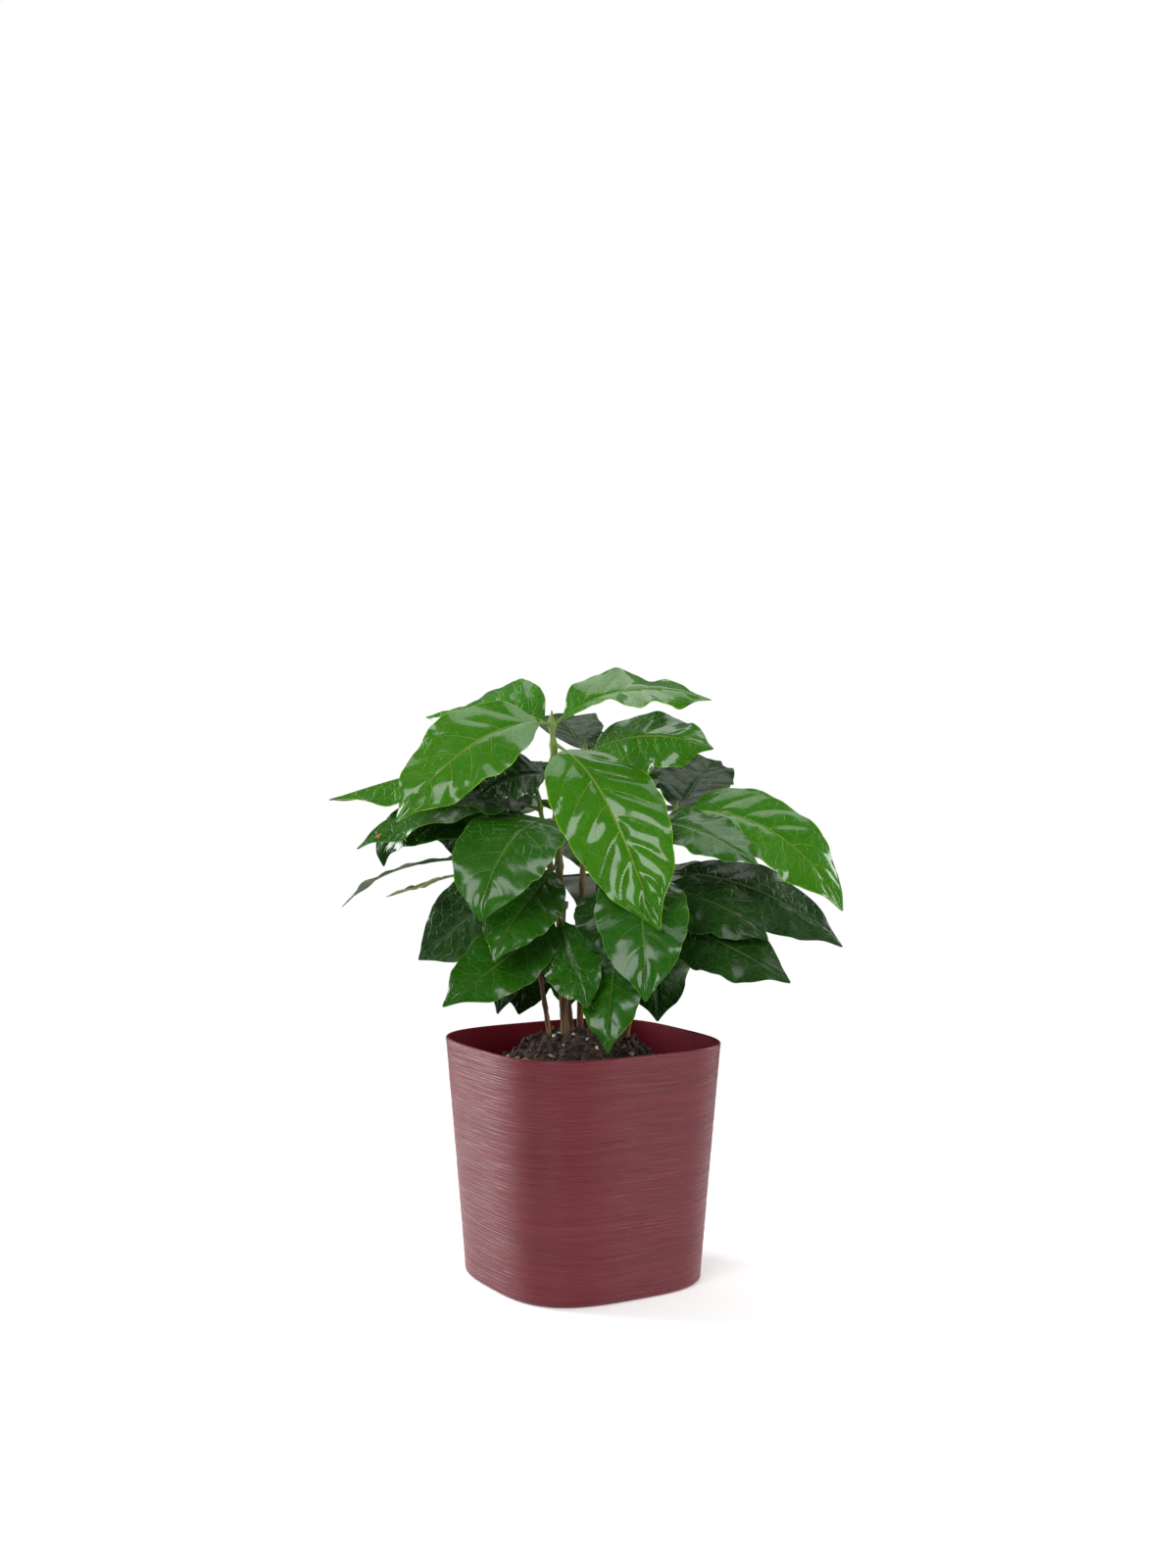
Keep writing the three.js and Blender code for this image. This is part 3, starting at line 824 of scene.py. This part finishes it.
def planter_outside():
    finish = Finish("berry_plastic", 0.45, Specular_IOR_Level=0.3)
    bands = finish.noise(60, 3, finish.place((0.2, 0.2, 6)))
    grain = finish.noise(100, 2, finish.place((0.16, 0.16, 9)), 0.6)
    hairs = finish.noise(200, 2, finish.place((0.1, 0.1, 5)))
    colour = finish.mix(bands.step(0.3, 0.72), BERRY_DARK, BERRY)
    colour = finish.mix(grain.step(0.5, 0.75) * 0.16, colour, BERRY_LIGHT)
    relief = grain + hairs * 0.5
    finish.feed(
        Base_Color=colour,
        Roughness=0.12 + grain * 0.5 + hairs * 0.12,
        Normal=finish.bump(relief, 0.0008, 1.0),
    )
    return finish.material


# The inner wall is the same plastic, coloured a little deeper crimson: painted shade for the pot's
# shaded mouth.
def planter_inside_painted_shade():
    finish = Finish("berry_plastic_inside_painted_shade", 0.6, Specular_IOR_Level=0.03)
    cloudy = finish.noise(40, 3)
    specks = finish.noise(1200, 2)
    finish.feed(
        Base_Color=finish.mix(cloudy, (0.12, 0.007, 0.013), (0.15, 0.010, 0.018)),
        Normal=finish.bump(specks, 0.0001),
    )
    return finish.material


# %% Planter sections
SIDES = 192
WALL = 2.2 * MM
BASE_THICKNESS = 3 * MM
FOOT_ROUNDING = 3 * MM
FOOT_RINGS = 7
FLANK_RINGS = 59
RIM_RINGS = 9
INNER_RINGS = 11
RIDGE = 0.16 * MM
rim_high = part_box("planter")[1]
HEIGHT = rim_high.z
TOP_WIDTH = rim_high.x * 2
BASE_WIDTH = 121 * MM
TOP_SQUARENESS = 3.4
BASE_SQUARENESS = 3.2


def planter_levels():
    """Height and inset of each ring, from the underside, over the rim, to the inner floor."""
    levels = []
    round_rim = WALL / 2
    for i in range(FOOT_RINGS):
        turn = math.pi / 2 * i / (FOOT_RINGS - 1)
        levels.append((FOOT_ROUNDING * (1 - math.cos(turn)), FOOT_ROUNDING * (1 - math.sin(turn))))
    for i in range(1, FLANK_RINGS + 1):
        share = i / (FLANK_RINGS + 1)
        levels.append((FOOT_ROUNDING + (HEIGHT - FOOT_ROUNDING - round_rim) * share, 0))
    for i in range(RIM_RINGS):
        turn = math.pi * i / (RIM_RINGS - 1)
        levels.append((HEIGHT - round_rim * (1 - math.sin(turn)), round_rim * (1 - math.cos(turn))))
    for i in range(1, INNER_RINGS + 1):
        share = i / INNER_RINGS
        levels.append((HEIGHT - round_rim - (HEIGHT - BASE_THICKNESS - round_rim) * share, WALL))
    return levels


def rounded_square(angle, z, inset):
    """The place on the pot's plan at an angle and a height, some way in from the outside."""
    share = z / HEIGHT
    squareness = BASE_SQUARENESS + (TOP_SQUARENESS - BASE_SQUARENESS) * share
    width = BASE_WIDTH + (TOP_WIDTH - BASE_WIDTH) * share - 2 * inset
    c = math.cos(angle)
    s = math.sin(angle)
    size = (abs(c) ** squareness + abs(s) ** squareness) ** (-1 / squareness)
    return Vector((c * size * width / 2, s * size * width / 2, z))


# %% Planter body
def extruded_rings(name, levels):
    """A closed body of rings, made by extruding a disc to each level in turn."""
    bpy.ops.object.select_all(action="DESELECT")
    bpy.ops.mesh.primitive_circle_add(vertices=SIDES, radius=1, fill_type="NGON")
    body = bpy.context.object
    body.name = name
    bpy.ops.object.mode_set(mode="EDIT")
    bpy.ops.mesh.select_all(action="SELECT")
    for _ in levels[1:]:
        bpy.ops.mesh.extrude_region_move(TRANSFORM_OT_translate={"value": (0, 0, 1)})
    bpy.ops.mesh.select_all(action="SELECT")
    bpy.ops.mesh.normals_make_consistent(inside=False)
    bpy.ops.object.mode_set(mode="OBJECT")
    return body


def make_planter():
    levels = planter_levels()
    pot = extruded_rings("coffee_planter", levels)
    for vertex in pot.data.vertices:
        ring = round(vertex.co.z)
        z, inset = levels[ring]
        angle = math.atan2(vertex.co.y, vertex.co.x)
        place = rounded_square(angle, z, inset)
        if FOOT_RINGS <= ring < FOOT_RINGS + FLANK_RINGS:
            ridges = noise.noise(Vector((place.x * 18, place.y * 18, z * 420)))
            place -= Vector((place.x, place.y, 0)).normalized() * (1 + ridges) * RIDGE
        vertex.co = place
    pot.data.materials.append(planter_outside())
    pot.data.materials.append(planter_inside_painted_shade())
    # Faces inside the rim take the deeper crimson, which is painted shade inside the pot.
    for face in pot.data.polygons:
        outward = Vector((face.center.x, face.center.y, 0))
        if face.center.z > BASE_THICKNESS - 0.1 * MM and face.normal.dot(outward) < -1e-6:
            face.material_index = 1
    only(pot)
    bpy.ops.object.shade_smooth_by_angle(angle=math.radians(60))
    stands_for(pot, "planter")
    return pot


planter = make_planter()
print("planter faces:", len(planter.data.polygons))

# %% [markdown]
# ## Soil
# Potting soil is a dark, crumbly mound with a few white perlite grains and pale bits of bark. A
# bump in the finish alone would leave its outline smooth. So the mound keeps the height of the
# measured soil and is roughened, and small crumbs are strewn over it: copies of one ball, each
# distorted with its own size and turn.

# %% Soil finishes
def soil_finish(name, dark, light, specks):
    finish = Finish(name, 0.95)
    lumps = finish.noise(240, 5, roughness=0.7)
    dots = finish.noise(1100, 2)
    colour = finish.mix(lumps.step(0.35, 0.68), dark, light)
    colour = finish.mix(dots.step(0.66, 0.72) * 0.6, colour, specks)
    finish.feed(Base_Color=colour, Normal=finish.bump(lumps + dots * 0.4, 0.0012))
    return finish.material


SOIL_FINISH = soil_finish(
    "potting_soil", dark=(0.010, 0.006, 0.004), light=(0.060, 0.034, 0.020), specks=(0.2, 0.15, 0.1)
)
CRUMB_FINISH = soil_finish(
    "soil_crumb", dark=(0.014, 0.008, 0.005), light=(0.085, 0.048, 0.027), specks=(0.25, 0.19, 0.12)
)
PERLITE_FINISH = soil_finish(
    "perlite", dark=(0.42, 0.40, 0.36), light=(0.72, 0.71, 0.67), specks=(0.85, 0.84, 0.8)
)
BARK_FINISH = soil_finish(
    "bark_bit", dark=(0.17, 0.12, 0.075), light=(0.42, 0.34, 0.24), specks=(0.6, 0.53, 0.42)
)

# %% Mound
SOIL_GAP = 0.4 * MM
SOIL_LEVEL = 112 * MM
MOUND_HEIGHT = 27 * MM
MOUND_RADIUS = 43 * MM
SOIL_RINGS = 64
soil_low, soil_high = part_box("soil")


def soil_height(x, y):
    """Height of the measured mound, with fine crumbs on it."""
    distance = math.hypot(x, y) / MOUND_RADIUS
    clods = math.sin(x * 310 + 1.3) * math.cos(y * 270 - 0.6) + 0.6 * math.sin(x * 700 - y * 600)
    crumbs = noise.fractal(Vector((x, y, 0)) * 190, 1.0, 2.1, 5)
    return SOIL_LEVEL + MOUND_HEIGHT / (1 + distance**5) + (1.3 * clods + 0.9 * crumbs) * MM


def make_soil():
    inset = WALL + SOIL_GAP
    walls = [(soil_low.z, inset), (SOIL_LEVEL * 0.5, inset), (SOIL_LEVEL - 3 * MM, inset)]
    levels = walls + [(None, 1 - i / SOIL_RINGS) for i in range(SOIL_RINGS)]
    ground = extruded_rings("coffee_soil", levels)
    for vertex in ground.data.vertices:
        z, amount = levels[round(vertex.co.z)]
        angle = math.atan2(vertex.co.y, vertex.co.x)
        if z is not None:
            vertex.co = rounded_square(angle, z, amount)
            continue
        edge = rounded_square(angle, SOIL_LEVEL, inset)
        x = edge.x * amount
        y = edge.y * amount
        vertex.co = (x, y, min(soil_height(x, y), soil_high.z))
    ground.data.materials.append(SOIL_FINISH)
    only(ground)
    bpy.ops.object.shade_smooth()
    stands_for(ground, "soil")
    return ground


soil = make_soil()
print("soil faces:", len(soil.data.polygons))

# %% Crumbs, perlite and bark
CRUMBS = 1500
PERLITE = 46
BARK_BITS = 26
CHIPS = ((-37, -20), (-33, -23), (-29, -26), (27, -25))


def spun(points, angle, first, second):
    """Points turned in the plane of two axes."""
    turn = np.eye(3)
    turn[first, first] = turn[second, second] = math.cos(angle)
    turn[first, second] = math.sin(angle)
    turn[second, first] = -math.sin(angle)
    return points @ turn


def strewn(name, count, sizes, flatness, material, seed, subdivisions, within=0.93, places=()):
    """Many small distorted balls on the mound, each a copy of one ball, joined in one piece."""
    picks = random.Random(seed)
    bpy.ops.object.select_all(action="DESELECT")
    bpy.ops.mesh.primitive_ico_sphere_add(subdivisions=subdivisions, radius=1)
    ball = bpy.context.object
    ball.data.materials.append(material)
    shape = np.array([v.co for v in ball.data.vertices])
    pieces = []
    for i in range(count):
        angle = picks.uniform(0, 2 * math.pi)
        share = within * math.sqrt(picks.random())
        edge = rounded_square(angle, SOIL_LEVEL, WALL + SOIL_GAP)
        x, y = places[i] if i < len(places) else (edge.x * share, edge.y * share)
        size = picks.uniform(*sizes) * MM
        stretch = [picks.uniform(0.7, 1.5), picks.uniform(0.6, 1.1), picks.uniform(*flatness)]
        spin = picks.uniform(0, math.pi)
        tilt = picks.uniform(-0.6, 0.6)
        bulges = [noise.noise(Vector(p) * 1.7 + Vector((i, 0, 0))) for p in shape]
        lump = shape * (1 + 0.35 * np.array(bulges))[:, None] * stretch * size
        lump = spun(spun(lump, tilt, 0, 2), spin, 0, 1)
        piece = own_copy(ball, name)
        put_places(piece, lump + [x, y, soil_height(x, y) + size * 0.15])
        pieces.append(piece)
    bpy.data.objects.remove(ball)
    only(*pieces)
    bpy.ops.object.join()
    bpy.ops.object.shade_smooth()
    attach(pieces[0], "root")


chips = [seen(x * MM, y * MM, 0).to_2d() for x, y in CHIPS]
strewn("soil_crumbs", CRUMBS, (0.7, 2.1), (0.6, 1.0), CRUMB_FINISH, 5, 1)
strewn("perlite_grains", PERLITE, (0.7, 1.7), (0.7, 1.0), PERLITE_FINISH, 9, 2)
strewn("bark_bits", BARK_BITS, (1.4, 3.4), (0.18, 0.35), BARK_FINISH, 3, 2, 0.9, chips)
print("crumbs, perlite, bark:", CRUMBS, PERLITE, BARK_BITS)

# %% [markdown]
# ## Floor and light
# The plant stands on a plain pale floor that fades into a white surround. One bright room would
# wash the glossy leaves out, so the light is that of a small studio with soft panels: one in
# front on the left, which shines on the lower half of the big leaves, one overhead, a tall one
# far round on the left, whose grazing light brings out the pot's grain, and two weaker ones on
# the right. A dim room fills the shadows.

# %% Floor
FLOOR_FADE = (0.3, 0.8)

bpy.ops.object.select_all(action="DESELECT")
bpy.ops.mesh.primitive_circle_add(vertices=96, radius=FLOOR_FADE[1] + 0.1, fill_type="NGON")
floor = bpy.context.object
floor.name = "floor"
floor_finish = Finish("pale_floor", 0.8, Emission_Strength=0.3)
floor_finish.feed(Emission_Color=(1.0, 1.0, 1.0))
floor_tone = floor_finish.mix(floor_finish.noise(3, 2), (0.90, 0.90, 0.90), (0.92, 0.92, 0.92))
floor_place = floor_finish.add("ShaderNodeTexCoord", out=3)
floor_reach = floor_finish.add("ShaderNodeVectorMath", {"operation": "LENGTH"}, {0: floor_place}, 1)
floor_finish.feed(Base_Color=floor_tone, Alpha=floor_reach.step(FLOOR_FADE[1], FLOOR_FADE[0]))
floor.data.materials.append(floor_finish.material)

# %% Surround
ROOM_LIGHT = 0.11

world = bpy.data.worlds.new("studio")
bpy.context.scene.world = world
world.use_nodes = True
world_tree = world.node_tree
room = world_tree.nodes["Background"]
room.inputs["Color"].default_value = (1, 1, 1, 1)
room.inputs["Strength"].default_value = ROOM_LIGHT
backdrop = world_tree.nodes.new("ShaderNodeBackground")
backdrop.inputs["Color"].default_value = (1, 1, 1, 1)
paths = world_tree.nodes.new("ShaderNodeLightPath")
either = world_tree.nodes.new("ShaderNodeMixShader")
world_tree.links.new(either.inputs[0], paths.outputs["Is Camera Ray"])
world_tree.links.new(either.inputs[1], room.outputs[0])
world_tree.links.new(either.inputs[2], backdrop.outputs[0])
world_tree.links.new(world_tree.nodes["World Output"].inputs[0], either.outputs[0])


# %% Lights
MIDDLE = Vector((0, 0, 0.22))


def soft_light(name, place, size, power):
    bpy.ops.object.light_add(type="AREA", location=place)
    light = bpy.context.object
    light.name = name
    light.data.shape = "RECTANGLE"
    light.data.size = size[0]
    light.data.size_y = size[1]
    light.data.energy = power
    light.rotation_euler = (MIDDLE - place).to_track_quat("-Z", "Y").to_euler()


soft_light("key", seen(-0.45, -1.05, 0.95), (0.78, 0.74), 10.5)
soft_light("above", seen(0.15, 0.45, 1.5), (1.3, 1.1), 8.5)
soft_light("left", seen(-1.15, 0.5, 0.55), (0.7, 1.0), 23)
soft_light("right", seen(1.25, 0.55, 0.5), (0.6, 0.9), 9)
soft_light("front_right", seen(1.4, -0.8, 0.35), (0.6, 0.6), 10)
bpy.context.scene.view_settings.view_transform = "Standard"

# %% [markdown]
# ## Finish
# The masters are removed.

# %% Removing the masters
for master in (master_blade, master_stalk):
    bpy.data.objects.remove(master)
